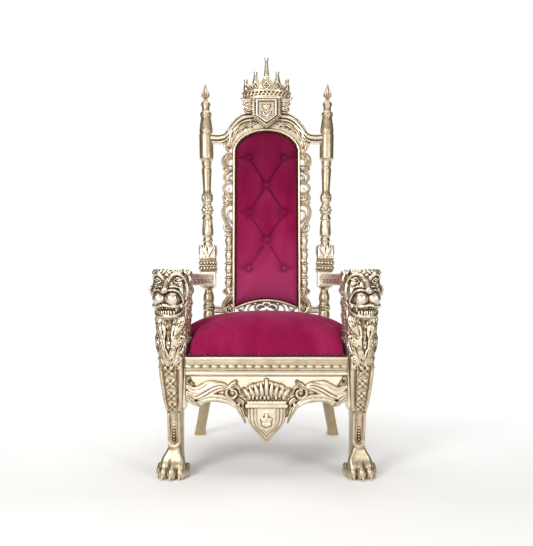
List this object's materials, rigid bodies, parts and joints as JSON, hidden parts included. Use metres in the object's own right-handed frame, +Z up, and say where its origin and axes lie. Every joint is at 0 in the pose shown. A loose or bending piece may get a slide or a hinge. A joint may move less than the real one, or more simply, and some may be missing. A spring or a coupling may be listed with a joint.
{
  "type": "throne",
  "caption": "Carved gilt throne: lion-headed front legs with paw feet, turned back posts, crown and shield crest, pierced back frame, tufted velvet back and domed velvet seat",
  "frame": {"origin": "on the floor under the middle of the chair", "axes": "+Z up; the sitter faces -Y; +X is on the right of someone who stands in front of the throne"},
  "size_m": [0.8598, 0.7655, 1.7839],
  "materials": {
    "gilt_wood": "carved mahogany in antique gold paint, satin, browned in the hollows",
    "velvet": "crimson pink velvet with a soft sheen",
    "plain_wood": "plain board, oiled"
  },
  "bodies": {
    "root": {"front_leg_left": "gilt_wood", "front_leg_right": "gilt_wood", "rear_leg_left": "gilt_wood", "rear_leg_right": "gilt_wood", "seat_rail_front": "gilt_wood", "seat_rail_side_left": "gilt_wood", "seat_rail_side_right": "gilt_wood", "seat_rail_rear": "gilt_wood", "apron_front": "gilt_wood", "arm_left": "gilt_wood", "arm_right": "gilt_wood", "back_post_left": "gilt_wood", "back_post_right": "gilt_wood", "crest_rail": "gilt_wood", "back_stile_left": "gilt_wood", "back_stile_right": "gilt_wood", "back_bottom_rail": "gilt_wood", "crest_shield": "gilt_wood", "crest_crown": "gilt_wood", "seat_cushion": "velvet", "back_pad": "velvet", "back_board": "velvet", "back_button_1": "velvet", "back_button_2": "velvet", "back_button_3": "velvet", "back_button_4": "velvet", "back_button_5": "velvet", "back_button_6": "velvet", "back_button_7": "velvet", "back_button_8": "velvet", "seat_deck": "plain_wood"}
  },
  "joints": []
}
